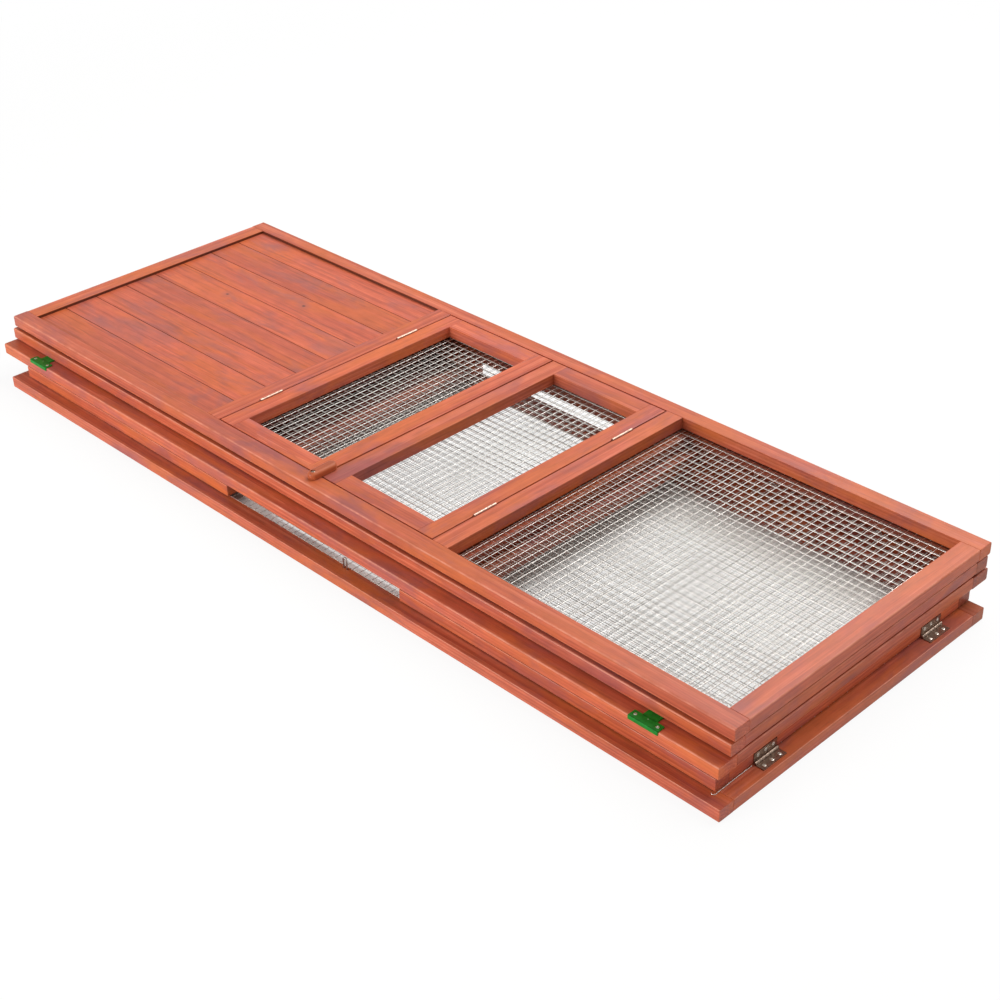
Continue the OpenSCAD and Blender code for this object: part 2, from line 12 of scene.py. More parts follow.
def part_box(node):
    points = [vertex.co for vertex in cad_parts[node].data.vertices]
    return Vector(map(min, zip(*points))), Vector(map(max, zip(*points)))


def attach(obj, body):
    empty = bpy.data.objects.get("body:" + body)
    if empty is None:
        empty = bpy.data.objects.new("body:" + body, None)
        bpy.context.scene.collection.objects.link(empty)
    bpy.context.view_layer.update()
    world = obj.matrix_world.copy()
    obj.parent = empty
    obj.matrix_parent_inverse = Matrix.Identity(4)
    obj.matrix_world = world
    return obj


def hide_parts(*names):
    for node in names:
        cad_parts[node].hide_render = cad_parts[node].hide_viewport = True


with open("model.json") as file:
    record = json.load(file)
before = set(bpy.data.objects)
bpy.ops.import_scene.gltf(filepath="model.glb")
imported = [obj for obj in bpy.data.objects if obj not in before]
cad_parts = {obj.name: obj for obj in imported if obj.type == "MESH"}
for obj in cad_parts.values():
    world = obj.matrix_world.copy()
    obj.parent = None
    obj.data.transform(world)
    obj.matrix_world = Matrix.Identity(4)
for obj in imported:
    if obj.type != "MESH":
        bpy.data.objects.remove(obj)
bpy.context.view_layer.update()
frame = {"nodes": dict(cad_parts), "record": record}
BODIES = frame["record"]["behaviour"]["bodies"]
BODY_OF = {node: body for body, nodes in BODIES.items() for node in nodes}
MM = 0.001

# Rounds of a rail: its frame's outer edges, those edges below the roof, and all its other edges
OUTER_ROUND = 2.1 * MM
LOWER_ROUND = 1.0 * MM
INNER_ROUND = 0.7 * MM
CORNER_STEPS = 3
END_CHAMFER = 0.5 * MM
# Half the length over which a board's dark sides and painted shade change
STOP_GAP = 0.1 * MM
# How near a rail's side its painted shade starts
SIDE_DEPTH = 0.05 * MM
PLANK_GAP = 0.4 * MM
PLANK_BEVEL = 1.0 * MM
# Where boards lie in their trees, in metres: along them, across the pith, and below it
TREE_ALONG, TREE_ACROSS, TREE_BELOW = (0, 40), (-0.03, 0.03), (0.02, 0.07)


# Meshes


class Shape:
    """Vertices, faces, grain coordinates, tone, dark plank sides with painted shade, and rounded edges
    of one piece. Rails' tones below 0 are painted shade, and the rounded edges are paled for wear and
    painted highlight.
    """

    def __init__(self):
        self.verts, self.faces, self.grain = [], [], []
        self.tone, self.seam, self.edge = [], [], []

    def add(self, verts, faces, grain=None, tone=0.5, seam=None, edge=None):
        first = len(self.verts)
        self.verts += [tuple(v) for v in verts]
        self.faces += [tuple(first + i for i in f) for f in faces]
        self.grain += [tuple(g) for g in (verts if grain is None else grain)]
        self.tone += [tone] * len(verts)
        self.seam += [0.0] * len(verts) if seam is None else seam
        self.edge += [0.0] * len(verts) if edge is None else edge

    def piece(self, name, body, slot, material, nodes=(), sharp=35, flat=False):
        """Makes the object, which rides on the body and stands for the CAD nodes. A flat one's large
        faces are shaded flat, up to its rounded edges."""
        mesh = bpy.data.meshes.new(name)
        mesh.from_pydata(self.verts, [], self.faces)
        grain = mesh.attributes.new("grain", "FLOAT_VECTOR", "POINT")
        grain.data.foreach_set("vector", np.array(self.grain, np.float32).ravel())
        for key, values in (("tone", self.tone), ("seam", self.seam), ("edge", self.edge)):
            data = mesh.attributes.new(key, "FLOAT", "POINT").data
            data.foreach_set("value", np.array(values, np.float32))
        mesh.shade_smooth()
        mesh.set_sharp_from_angle(angle=math.radians(sharp))
        mesh.materials.append(material)
        obj = bpy.data.objects.new(name, mesh)
        bpy.context.scene.collection.objects.link(obj)
        if flat:
            obj.modifiers.new("flat_faces", "WEIGHTED_NORMAL").keep_sharp = True
        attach(obj, body)
        if nodes:
            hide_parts(*nodes)
        return obj


def bridge(rings, size):
    """Faces between rings of equal size and over both ends, outward where each ring runs
    counterclockwise."""
    faces = []
    for j in range(rings - 1):
        for i in range(size):
            k = (i + 1) % size
            faces.append((j * size + i, j * size + k, (j + 1) * size + k, (j + 1) * size + i))
    faces.append(tuple(reversed(range(size))))
    faces.append(tuple(range((rings - 1) * size, rings * size)))
    return faces


def rail_outline(width, height, radii, cut=None):
    """Section of a rail about its middle. radii go round from the corner (+, +).
    cut = (corner, points) puts four other points in the place of that corner."""
    points = []
    for k, (sx, sy) in enumerate(((1, 1), (-1, 1), (-1, -1), (1, -1))):
        if cut and cut[0] == k:
            points += cut[1]
            continue
        radius = radii[k]
        for i in range(CORNER_STEPS + 1):
            angle = (k + i / CORNER_STEPS) * math.pi / 2
            points.append((sx * (width / 2 - radius) + radius * math.cos(angle),
                           sy * (height / 2 - radius) + radius * math.sin(angle)))
    return points


def grain_offset(rng):
    """Where a board lay in its tree."""
    return rng.uniform(*TREE_ALONG), rng.uniform(*TREE_ACROSS), rng.uniform(*TREE_BELOW)


def board_rings(low_end, high_end, width, height, radii, cuts, stops):
    """Sections of a board from end to end, as (place, points)."""
    plain = rail_outline(width, height, radii)
    inset = [(x * (1 - 2 * END_CHAMFER / width), y * (1 - 2 * END_CHAMFER / height)) for x, y in plain]
    rings = [(low_end, inset), (low_end + END_CHAMFER, plain)]
    for start, end, corner, points in sorted(cuts):
        notched = rail_outline(width, height, radii, (corner, points))
        rings += [(start, plain), (start, notched), (end, notched), (end, plain)]
    for stop in stops:
        if low_end + END_CHAMFER < stop < high_end - END_CHAMFER:
            rings += [(stop - STOP_GAP, plain), (stop + STOP_GAP, plain)]
    rings += [(high_end - END_CHAMFER, plain), (high_end, inset)]
    return sorted(rings, key=lambda ring: ring[0])


def add_board(shape, low, high, along, radii, rng, cuts=(), tone=None, seam=None, stops=()):
    """A board from low to high whose grain runs along that axis. cuts = (start, end, corner, points).
    The function in the seam argument gives a plank's dark sides and a rail's painted shade at a place
    along and across, and may change at the stops."""
    second, third = (along + 1) % 3, (along + 2) % 3
    middle = [(low[axis] + high[axis]) / 2 for axis in range(3)]
    width, height = high[second] - low[second], high[third] - low[third]
    rings = board_rings(low[along], high[along], width, height, radii, cuts, stops)
    shift = grain_offset(rng)
    half = (height if second == 2 else width) / 2
    verts, grain, seams = [], [], []
    for at, outline in rings:
        for x, y in outline:
            point = [0.0, 0.0, 0.0]
            point[along], point[second], point[third] = at, middle[second] + x, middle[third] + y
            verts.append(point)
            thick, wide = (x, y) if second == 2 else (y, x)
            grain.append((at + shift[0], wide + shift[1], thick + shift[2]))
            seams.append(seam(at, wide, half) if seam else 0.0)
    # Rounded outer edges, which the wood pales along for wear and painted highlight
    rounded = [float(0 < i < CORNER_STEPS and radius > INNER_ROUND)
               for radius in radii for i in range(CORNER_STEPS + 1)]
    shape.add(verts, bridge(len(rings), len(rings[0][1])), grain,
              rng.random() if tone is None else tone, seams, rounded * len(rings))


def plank_seam(_, wide, half):
    """Dark sides of a plank, up to its rounded edges."""
    return min(1.0, max(0.0, (abs(wide) - half) / PLANK_BEVEL + 1))


def recess_seam(side, start, end):
    """Painted shade on the side of a rail where the planks lie below it."""
    return lambda at, wide, half: float(start < at < end and side * wide > half - SIDE_DEPTH)


def add_tube(shape, points, radius, sides):
    """A round wire through the points."""
    points = [Vector(point) for point in points]
    verts = []
    normal = None
    for i, point in enumerate(points):
        ahead = (points[min(i + 1, len(points) - 1)] - points[max(i - 1, 0)]).normalized()
        if normal is None:
            normal = ahead.orthogonal().normalized()
        normal = (normal - ahead * normal.dot(ahead)).normalized()
        side = ahead.cross(normal)
        for k in range(sides):
            angle = 2 * math.pi * k / sides
            verts.append(point + radius * (math.cos(angle) * normal + math.sin(angle) * side))
    shape.add(verts, bridge(len(points), sides))


# Materials


class Nodes:
    """A material's node tree, with short calls for the nodes that it needs."""

    def __init__(self, name):
        self.material = bpy.data.materials.new(name)
        self.material.use_nodes = True
        self.tree = self.material.node_tree
        self.shader = self.tree.nodes["Principled BSDF"]

    def node(self, kind, inputs=None, **props):
        made = self.tree.nodes.new(kind)
        for key, value in props.items():
            setattr(made, key, value)
        for key, value in (inputs or {}).items():
            self.put(value, made.inputs[key])
        return made

    def put(self, value, socket):
        if isinstance(value, bpy.types.NodeSocket):
            self.tree.links.new(value, socket)
        else:
            socket.default_value = value

    def attribute(self, name, output):
        return self.node("ShaderNodeAttribute", attribute_name=name).outputs[output]

    def stretched(self, vector, factors):
        return self.node("ShaderNodeVectorMath", {0: vector, 1: factors},
                         operation="MULTIPLY").outputs[0]

    def noise(self, vector, factors, detail=3.0, roughness=0.55, distortion=0.0):
        return self.node("ShaderNodeTexNoise",
                         {"Vector": self.stretched(vector, factors), "Scale": 1.0, "Detail": detail,
                          "Roughness": roughness, "Distortion": distortion}).outputs[0]

    def maths(self, operation, a, b=0.0, c=0.0):
        return self.node("ShaderNodeMath", {0: a, 1: b, 2: c}, operation=operation).outputs[0]

    def span(self, value, low, high, to_low=0.0, to_high=1.0):
        return self.node("ShaderNodeMapRange",
                         {"Value": value, "From Min": low, "From Max": high, "To Min": to_low,
                          "To Max": to_high}).outputs[0]

    def ramp(self, value, stops):
        made = self.node("ShaderNodeValToRGB", {"Fac": value})
        elements = made.color_ramp.elements
        while len(elements) < len(stops):
            elements.new(0.5)
        for element, (at, colour) in zip(elements, stops):
            element.position = at
            element.color = (*colour, 1)
        return made.outputs[0]

    def mix(self, share, a, b, blend="MIX"):
        made = self.node("ShaderNodeMix", data_type="RGBA", blend_type=blend)
        self.put(share, made.inputs[0])
        self.put(a if isinstance(a, bpy.types.NodeSocket) else (*a, 1), made.inputs[6])
        self.put(b if isinstance(b, bpy.types.NodeSocket) else (*b, 1), made.inputs[7])
        return made.outputs[2]

    def bump(self, height, strength, distance):
        made = self.node("ShaderNodeBump", {"Height": height, "Strength": strength,
                                            "Distance": distance})
        self.put(made.outputs[0], self.shader.inputs["Normal"])

    def surface(self, **values):
        for key, value in values.items():
            self.put(value, self.shader.inputs[key.replace("_", " ")])


def wood_shade(nodes, at, mottle, planks):
    """How dark the wood is: each board's tone, short dashes, mottle, dark plank sides, and painted
    shade from tones below 0 and on rails' sides over the planks' recesses.
    """
    dashes = nodes.noise(at, (11.0, 210.0, 210.0), 3.0, 0.65)
    # Each board's tone; the rails' tones below 0 are painted shade
    shade = nodes.maths("MULTIPLY_ADD", nodes.attribute("tone", "Fac"), 0.18, 0.9)
    shade = nodes.maths("MULTIPLY", shade,
                        nodes.span(dashes, 0.34, 0.47, 0.76 if planks else 0.84, 1.0))
    shade = nodes.maths("MULTIPLY", shade, nodes.span(mottle, 0.3, 0.7, 0.91, 1.09))
    # Dark sides of planks, and painted shade on rails' sides over the planks' recesses
    seam = nodes.span(nodes.attribute("seam", "Fac"), 0.2, 1.0, 1.0, 0.42 if planks else 0.22)
    shade = nodes.maths("MULTIPLY", shade, seam)
    return nodes.node("ShaderNodeCombineColor", {0: shade, 1: shade, 2: shade}).outputs[0]


def with_knots(nodes, at, colour, smudge):
    """The colour with a few small dark knots, each in a smudge."""
    cell = nodes.node("ShaderNodeTexVoronoi", {"Vector": nodes.stretched(at, (17.0, 20.0, 0.0)),
                                               "Scale": 1.0, "Randomness": 1.0})
    chance = nodes.node("ShaderNodeSeparateColor", {0: cell.outputs["Color"]}).outputs[0]
    chosen = nodes.span(chance, 0.86, 0.87)
    near = nodes.span(cell.outputs["Distance"], 0.04, 0.075, 0.9, 0.0)
    halo = nodes.span(cell.outputs["Distance"], 0.07, 0.3, 0.5, 0.0)
    colour = nodes.mix(nodes.maths("MULTIPLY", halo, chosen), colour, smudge)
    return nodes.mix(nodes.maths("MULTIPLY", near, chosen), colour, KNOT_WOOD)


def with_worn_and_lit_edges(nodes, mottle, colour):
    """The colour, paler in places along the rounded outer edges: partly wear, partly painted highlight.
    """
    worn_and_lit = nodes.maths("MULTIPLY", nodes.attribute("edge", "Fac"),
                       nodes.span(mottle, 0.35, 0.62, 0.2, 0.65))
    return nodes.mix(worn_and_lit, colour, EDGE_WEAR_AND_HIGHLIGHT_WOOD)


def wood_material(name, dark, middle, light, warm, smudge, planks=False):
    """Stained softwood: fine streaks and rings along the board, warm patches and dark smudges."""
    nodes = Nodes(name)
    at = nodes.attribute("grain", "Vector")
    rings = nodes.node("ShaderNodeTexWave",
                       {"Vector": nodes.stretched(at, (0.06, 1.0, 1.0)), "Scale": 62.0,
                        "Distortion": 5.0, "Detail": 3.0, "Detail Scale": 0.35,
                        "Detail Roughness": 0.55},
                       wave_type="RINGS", rings_direction="X", wave_profile="SAW").outputs["Fac"]
    broad = nodes.noise(at, (2.2, 60.0, 60.0), 3.0, 0.55)
    streak = nodes.noise(at, (4.0, 330.0, 330.0), 3.0, 0.6)
    fibre = nodes.noise(at, (26.0, 1100.0, 1100.0), 2.0)
    mottle = nodes.noise(at, (34.0, 70.0, 70.0), 3.0, 0.6)
    warmth = nodes.noise(at, (5.0, 22.0, 22.0), 3.0, 0.55, 0.3)
    smear = nodes.noise(at, (7.0, 17.0, 17.0), 4.0, 0.62, 0.5)
    value = nodes.maths("MULTIPLY_ADD", rings, 0.14, nodes.maths("MULTIPLY", broad, 0.40))
    value = nodes.maths("MULTIPLY_ADD", streak, 0.36, value)
    value = nodes.maths("MULTIPLY_ADD", fibre, 0.10, value)
    colour = nodes.ramp(nodes.span(value, 0.34, 0.66), ((0.0, dark), (0.5, middle), (1.0, light)))
    colour = nodes.mix(nodes.span(warmth, 0.45, 0.62, 0.0, 0.8), colour, warm)
    colour = nodes.mix(nodes.span(smear, 0.50, 0.68, 0.0, 0.85 if planks else 0.75), colour, smudge)
    colour = nodes.mix(1.0, colour, wood_shade(nodes, at, mottle, planks), "MULTIPLY")
    if planks:
        colour = with_knots(nodes, at, colour, smudge)
    else:
        colour = with_worn_and_lit_edges(nodes, mottle, colour)
    nodes.surface(Base_Color=colour, Roughness=nodes.span(broad, 0.3, 0.7, 0.4, 0.54), IOR=1.34,
                  Coat_Weight=0.05, Coat_Roughness=0.3)
    relief = nodes.maths("MULTIPLY_ADD", fibre, 0.6, nodes.maths("MULTIPLY", streak, 0.4))
    nodes.bump(relief, 0.2, 0.0002)
    return nodes.material


def metal_material(name, colour, dull, rough, scale):
    """Plated or galvanised steel, with cloudy plating and fine scratches."""
    nodes = Nodes(name)
    at = nodes.node("ShaderNodeTexCoord").outputs["Object"]
    cloud = nodes.noise(at, (scale, scale, scale), 4.0, 0.6)
    scratch = nodes.noise(at, (scale * 9, scale * 0.8, scale * 9), 2.0)
    roughness = nodes.maths("MULTIPLY_ADD", scratch, 0.12, nodes.span(cloud, 0.3, 0.7, *rough))
    nodes.surface(Base_Color=nodes.mix(nodes.span(cloud, 0.35, 0.7), colour, dull), Metallic=1.0,
                  Roughness=roughness)
    nodes.bump(scratch, 0.15, 0.0001)
    return nodes.material


def plastic_material(name, colour, deep):
    """Moulded plastic with a faint grain."""
    nodes = Nodes(name)
    at = nodes.node("ShaderNodeTexCoord").outputs["Object"]
    cloud = nodes.noise(at, (160.0, 160.0, 160.0), 3.0)
    pits = nodes.noise(at, (2600.0, 2600.0, 2600.0), 1.0)
    nodes.surface(Base_Color=nodes.mix(nodes.span(cloud, 0.35, 0.7), colour, deep),
                  Roughness=nodes.span(cloud, 0.3, 0.7, 0.38, 0.5), IOR=1.3)
    nodes.bump(pits, 0.12, 0.0001)
    return nodes.material


# Paler colour of the rounded outer edges: partly wear, partly painted highlight
EDGE_WEAR_AND_HIGHLIGHT_WOOD = (0.66, 0.26, 0.17)
KNOT_WOOD = (0.06, 0.02, 0.014)
RAIL_WOOD = wood_material("rail_wood", dark=(0.320, 0.050, 0.022), middle=(0.465, 0.093, 0.041),
                          light=(0.610, 0.160, 0.084), warm=(0.500, 0.110, 0.026),
                          smudge=(0.29, 0.074, 0.072))
PLANK_WOOD = wood_material("plank_board_wood", dark=(0.345, 0.060, 0.029), middle=(0.468, 0.091, 0.043),
                           light=(0.580, 0.132, 0.066), warm=(0.500, 0.104, 0.027),
                           smudge=(0.29, 0.083, 0.072), planks=True)
# Near-black planks: painted shade, for the left end wall's planks deep inside the stack
PAINTED_SHADE_PLANK_WOOD = wood_material("plank_wood_painted_shade", dark=(0.06, 0.009, 0.005), middle=(0.10, 0.015, 0.008),
                           light=(0.14, 0.024, 0.012), warm=(0.11, 0.017, 0.007),
                           smudge=(0.06, 0.012, 0.009), planks=True)
BUTTON_WOOD = wood_material("turned_wood", dark=(0.24, 0.042, 0.013), middle=(0.38, 0.078, 0.024),
                            light=(0.48, 0.120, 0.042), warm=(0.42, 0.085, 0.022),
                            smudge=(0.22, 0.045, 0.020))
# Two copies of one zinc: the darker one is painted shade for the nets inside the stack, the brighter
# one painted light for the top nets and the floor's net
SHADED_NET_STEEL = metal_material("net_zinc", colour=(0.33, 0.31, 0.28), dull=(0.17, 0.16, 0.15),
                           rough=(0.3, 0.45), scale=220.0)
LIT_NET_STEEL = metal_material("bright_net_zinc", colour=(0.68, 0.65, 0.61), dull=(0.45, 0.42, 0.39),
                            rough=(0.2, 0.34), scale=220.0)
# Hinge zinc, both kinds tinted red-brown as painted reflection of the wood round them
DOOR_HINGE_ZINC_PAINTED_REFLECTION = metal_material("door_hinge_zinc", colour=(0.46, 0.30, 0.24),
                                  dull=(0.28, 0.16, 0.12), rough=(0.2, 0.4), scale=260.0)
HINGE_ZINC_PAINTED_REFLECTION = metal_material("hinge_zinc", colour=(0.38, 0.29, 0.23), dull=(0.13, 0.08, 0.06),
                             rough=(0.16, 0.36), scale=260.0)
SCREW_STEEL = metal_material("screw_zinc", colour=(0.66, 0.62, 0.56), dull=(0.42, 0.38, 0.33),
                             rough=(0.18, 0.36), scale=500.0)
CATCH_STEEL = metal_material("catch_zinc", colour=(0.50, 0.43, 0.40), dull=(0.22, 0.17, 0.15),
                             rough=(0.16, 0.34), scale=400.0)
GREEN = plastic_material("moulded_green", colour=(0.0005, 0.20, 0.012), deep=(0.0005, 0.12, 0.006))

for node_name, steel in (("base_hinge_leaves", HINGE_ZINC_PAINTED_REFLECTION), ("left_end_hinge_leaves", HINGE_ZINC_PAINTED_REFLECTION),
                         ("right_end_hinge_leaves", HINGE_ZINC_PAINTED_REFLECTION),
                         ("front_wall_hinge_leaves", DOOR_HINGE_ZINC_PAINTED_REFLECTION),
                         ("left_door_hinge_leaves", DOOR_HINGE_ZINC_PAINTED_REFLECTION),
                         ("right_door_hinge_leaves", DOOR_HINGE_ZINC_PAINTED_REFLECTION)):
    cad_mesh = frame["nodes"][node_name].data
    cad_mesh.materials.clear()
    cad_mesh.materials.append(steel)


# Rails

# Each rail, with the side across it that is the frame's outer edge: -1, 1, or 0 for none
RAILS = {
    "base_front_rail": -1, "base_back_rail": 1, "base_left_rail": -1, "base_right_rail": 1,
    "left_end_front_rail": -1, "left_end_back_rail": 1, "left_end_foot_rail": -1,
    "left_end_head_rail": 1,
    "right_end_front_rail": -1, "right_end_back_rail": 1, "right_end_foot_rail": 1,
    "right_end_head_rail": -1,
    "roof_front_rail": -1, "roof_back_rail": 1, "roof_left_rail": -1, "roof_right_rail": 1,
    "roof_nest_divider": 0, "roof_run_divider": 0,
    "back_wall_top_rail": -1, "back_wall_bottom_rail": 1, "back_wall_left_stile": -1,
    "back_wall_right_stile": 1, "back_wall_nest_divider": 0, "back_wall_run_divider": 0,
    "front_wall_top_rail": -1, "front_wall_bottom_rail": 1, "front_wall_left_stile": -1,
    "front_wall_right_stile": 1, "front_wall_nest_divider": 0, "front_wall_run_divider": 0,
    "left_door_hinge_stile": 0, "left_door_meeting_stile": 0, "left_door_top_rail": 0,
    "left_door_bottom_rail": 0,
    "right_door_hinge_stile": 0, "right_door_meeting_stile": 0, "right_door_top_rail": 0,
    "right_door_bottom_rail": 0,
}
# Rails whose tones aren't left to chance. Those below 0, for rails inside the stack, are darkened as
# painted shade, and the front wall's top rail is a little darker as painted shade too
RAIL_TONES_AND_SHADE = {"front_wall_top_rail": 0.2, "front_wall_right_stile": 0.5, "left_door_bottom_rail": 1.3,
         "left_door_top_rail": 1.0, "left_door_hinge_stile": 1.1, "left_door_meeting_stile": 0.8,
         "left_end_head_rail": -2.2, "roof_nest_divider": -2.6, "back_wall_nest_divider": -2.6,
         "roof_run_divider": -1.8, "back_wall_run_divider": -1.8, "roof_back_rail": -1.6,
         "back_wall_bottom_rail": -1.6, "base_back_rail": -1.0, "right_end_head_rail": -1.0,
         "right_end_back_rail": -1.6}
# The frames below the roof, whose edges are less rounded
LOWER_FRAMES = ("base", "left_end", "right_end")
# Rails round the planked bays, with the side that the planks are on, which gets painted shade
RECESSED = {"roof_left_rail": 1, "roof_front_rail": 1, "roof_back_rail": -1, "roof_nest_divider": -1,
            "back_wall_left_stile": 1, "back_wall_top_rail": 1, "back_wall_bottom_rail": -1,
            "back_wall_nest_divider": -1, "front_wall_left_stile": 1, "front_wall_top_rail": 1,
            "front_wall_bottom_rail": -1, "front_wall_nest_divider": -1}
# How far the planks' ends lie in the rails' grooves
GROOVE = 4.9 * MM
# A stretch past both ends of any rail, in metres
WHOLE_RAIL = (-1, 1)
# Rails that the door hinges are let into, with the side of the doors' gap
HINGED = {"front_wall_nest_divider": 1, "left_door_hinge_stile": -1,
          "front_wall_run_divider": -1, "right_door_hinge_stile": 1}
DOOR_HINGE_L = 41 * MM
# Rooms for the door hinges' knuckles and leaves: in from the rail's side, and down from its top
KNUCKLE_IN, KNUCKLE_DOWN = 1.47 * MM, 1.17 * MM
LEAF_IN, LEAF_DOWN = 0.95 * MM, 12.65 * MM


def hinge_cuts(low, high, side):
    """Notches of the two door hinges in a rail: a room for the knuckles, a slot for the leaf."""
    leaves = frame["nodes"]["front_wall_hinge_leaves"].data
    ys = [v.co.y for v in leaves.vertices if (v.co.x < 0) == (low.x < 0)]
    spans = [(min(ys), min(ys) + DOOR_HINGE_L), (max(ys) - DOOR_HINGE_L, max(ys))]
    half_w, top = (high.x - low.x) / 2, (high.z - low.z) / 2
    # Up and across from the rail's middle: out of its top, then down the slot
    deep = [(top, KNUCKLE_IN), (top - KNUCKLE_DOWN, LEAF_IN), (top - LEAF_DOWN, LEAF_IN),
            (top - LEAF_DOWN, 0.0)]
    points = [(up, side * (half_w - inward)) for up, inward in deep]
    corner = 0 if side > 0 else 3
    if side < 0:
        points.reverse()
    return [(start, end, corner, points) for start, end in spans]


def rail_radii(name, along, outer):
    """Rounds of a rail's four edges. They go round from the corner (+, +) of its section."""
    edge_round = LOWER_ROUND if name.startswith(LOWER_FRAMES) else OUTER_ROUND
    out_low = edge_round if outer < 0 else INNER_ROUND
    out_high = edge_round if outer > 0 else INNER_ROUND
    if along == 0:
        return out_high, out_low, out_low, out_high
    return out_high, out_high, out_low, out_low


def add_rail(name, outer):
    """A rail in the place of its CAD node, with painted shade on its side where planks lie below it."""
    low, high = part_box(name)
    along = 0 if high.x - low.x > high.y - low.y else 1
    notches = hinge_cuts(low, high, HINGED[name]) if name in HINGED else ()
    seam, bay = None, ()
    if name in RECESSED:
        planks_low, planks_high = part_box(name.rsplit("_", 2)[0] + "_planks")
        bay = (planks_low.x + GROOVE, planks_high.x - GROOVE) if along == 0 else WHOLE_RAIL
        seam = recess_seam(RECESSED[name], *bay)
    rail = Shape()
    add_board(rail, low, high, along, rail_radii(name, along, outer), random.Random(name), notches,
              RAIL_TONES_AND_SHADE.get(name), seam, bay)
    rail.piece(name + "_wood", BODY_OF[name], "stained_wood", RAIL_WOOD, [name], flat=True)


for rail_name, outer_side in RAILS.items():
    add_rail(rail_name, outer_side)


# Planks

PLANK_TONES = (0.35, 0.75, 0.55, 0.15, 0.85, 0.6, 0.3, 0.9)
TONE_SPREAD = 0.15


def add_planks(name, along, wood):
    """The planks of one frame, side by side in the place of their CAD node."""
    low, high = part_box(name)
    across = 1 - along
    pitch = (high[across] - low[across] + PLANK_GAP) / len(PLANK_TONES)
    boards = Shape()
    rng = random.Random(name)
    for index, tone in enumerate(PLANK_TONES):
        plank_low, plank_high = low.copy(), high.copy()
        plank_low[across] = low[across] + index * pitch
        plank_high[across] = plank_low[across] + pitch - PLANK_GAP
        plank_tone = tone + rng.uniform(-TONE_SPREAD, TONE_SPREAD)
        add_board(boards, plank_low, plank_high, along, (PLANK_BEVEL,) * 4, rng, tone=plank_tone,
                  seam=plank_seam)
    boards.piece(name + "_wood", BODY_OF[name], "plank_wood", wood, [name], flat=True)


# The left end wall's planks take the wood with painted shade
add_planks("left_end_planks", 1, PAINTED_SHADE_PLANK_WOOD)
for planks_name in ("roof_planks", "back_wall_planks", "front_wall_planks"):
    add_planks(planks_name, 0, PLANK_WOOD)


# Nets

WIRE_PITCH = 12.7 * MM
WIRE_STUB = 1.0 * MM
WIRE_SIDES = 7
# How far the upper wires lie above the lower ones
WIRE_STEP = 0.6 * MM
# Unevenness of the wires: the whole net's bow, each wire's sway and ripple, and its lift
NET_BOW, WIRE_SWAY, WIRE_RIPPLE, WIRE_LIFT = 0.6 * MM, 0.2 * MM, 0.1 * MM, 0.05 * MM
# Turns of those waves in radians per metre, and how much the bow lags from wire to wire
BOW_TURNS, SWAY_TURNS, RIPPLE_TURNS, BOW_LAG = (7, 13), (12, 40), (40, 90), 9
# How far a net may be out of square, as a slope, and where in its turn a wave may start
NET_SLOPE, WAVE_START = (-0.003, 0.003), (0, 6.28)
# Each net: the axis of its lower wires, where its wires start along X and Y as shares of the pitch,
# the wires' radius in mm, and the steel: the brighter copy as painted light, the darker copy as painted
# shade
NETS = {"base_floor_net": (1, 0.3, 0.82, 0.42, LIT_NET_STEEL),
        "right_end_net": (0, 0.8, 0.2, 0.26, SHADED_NET_STEEL),
        "roof_net": (0, 0.4, 0.35, 0.26, SHADED_NET_STEEL),
        "back_wall_net": (0, 0.65, 0.5, 0.28, SHADED_NET_STEEL),
        "front_wall_net": (1, 0.1, 0.0, 0.4, LIT_NET_STEEL),
        "left_door_net": (1, 0.2, 0.3, 0.5, LIT_NET_STEEL),
        "right_door_net": (1, 0.5, 0.1, 0.46, LIT_NET_STEEL)}


def wire_places(low_end, high_end, phase):
    """Places of the wires across a net: every pitch from the phase, inside its cut ends."""
    first = low_end + WIRE_STUB
    first += (phase * WIRE_PITCH - first) % WIRE_PITCH
    return np.arange(first, high_end - WIRE_STUB, WIRE_PITCH)


def add_wires(shape, along, places, start, end, height, rng, radius):
    """Round wires of a net, each a little uneven, with their ends cut a little apart. The whole
    net is a little bowed and out of square."""
    across = 1 - along
    middle = (start + end) / 2
    bow, lag, slope = rng.uniform(*BOW_TURNS), rng.uniform(*WAVE_START), rng.uniform(*NET_SLOPE)
    ring = np.arange(WIRE_SIDES) * 2 * math.pi / WIRE_SIDES
    steps = max(2, round((end - start) / (2 * WIRE_PITCH)) + 1)
    faces = bridge(steps, WIRE_SIDES)
    for place in places:
        t = np.linspace(start + rng.uniform(0, 1) * MM, end - rng.uniform(0, 1) * MM, steps)
        sway_turns, sway_start = rng.uniform(*SWAY_TURNS), rng.uniform(*WAVE_START)
        ripple_turns, ripple_start = rng.uniform(*RIPPLE_TURNS), rng.uniform(*WAVE_START)
        sway = WIRE_SWAY * np.sin(t * sway_turns + sway_start)
        sway += WIRE_RIPPLE * np.sin(t * ripple_turns + ripple_start)
        sway += NET_BOW * np.sin(t * bow + place * BOW_LAG + lag) + slope * (t - middle)
        lift = WIRE_LIFT * np.sin(t * ripple_turns + sway_start)
        verts = np.zeros((steps, WIRE_SIDES, 3))
        verts[:, :, along] = t[:, None]
        # Across and up turn the other way round for wires along Y, to keep the faces outward
        turn = 1 if along == 0 else -1
        verts[:, :, across] = (place + sway)[:, None] + radius * np.cos(turn * ring)[None, :]
        verts[:, :, 2] = (height + lift)[:, None] + radius * np.sin(turn * ring)[None, :]
        shape.add(verts.reshape(-1, 3).tolist(), faces)


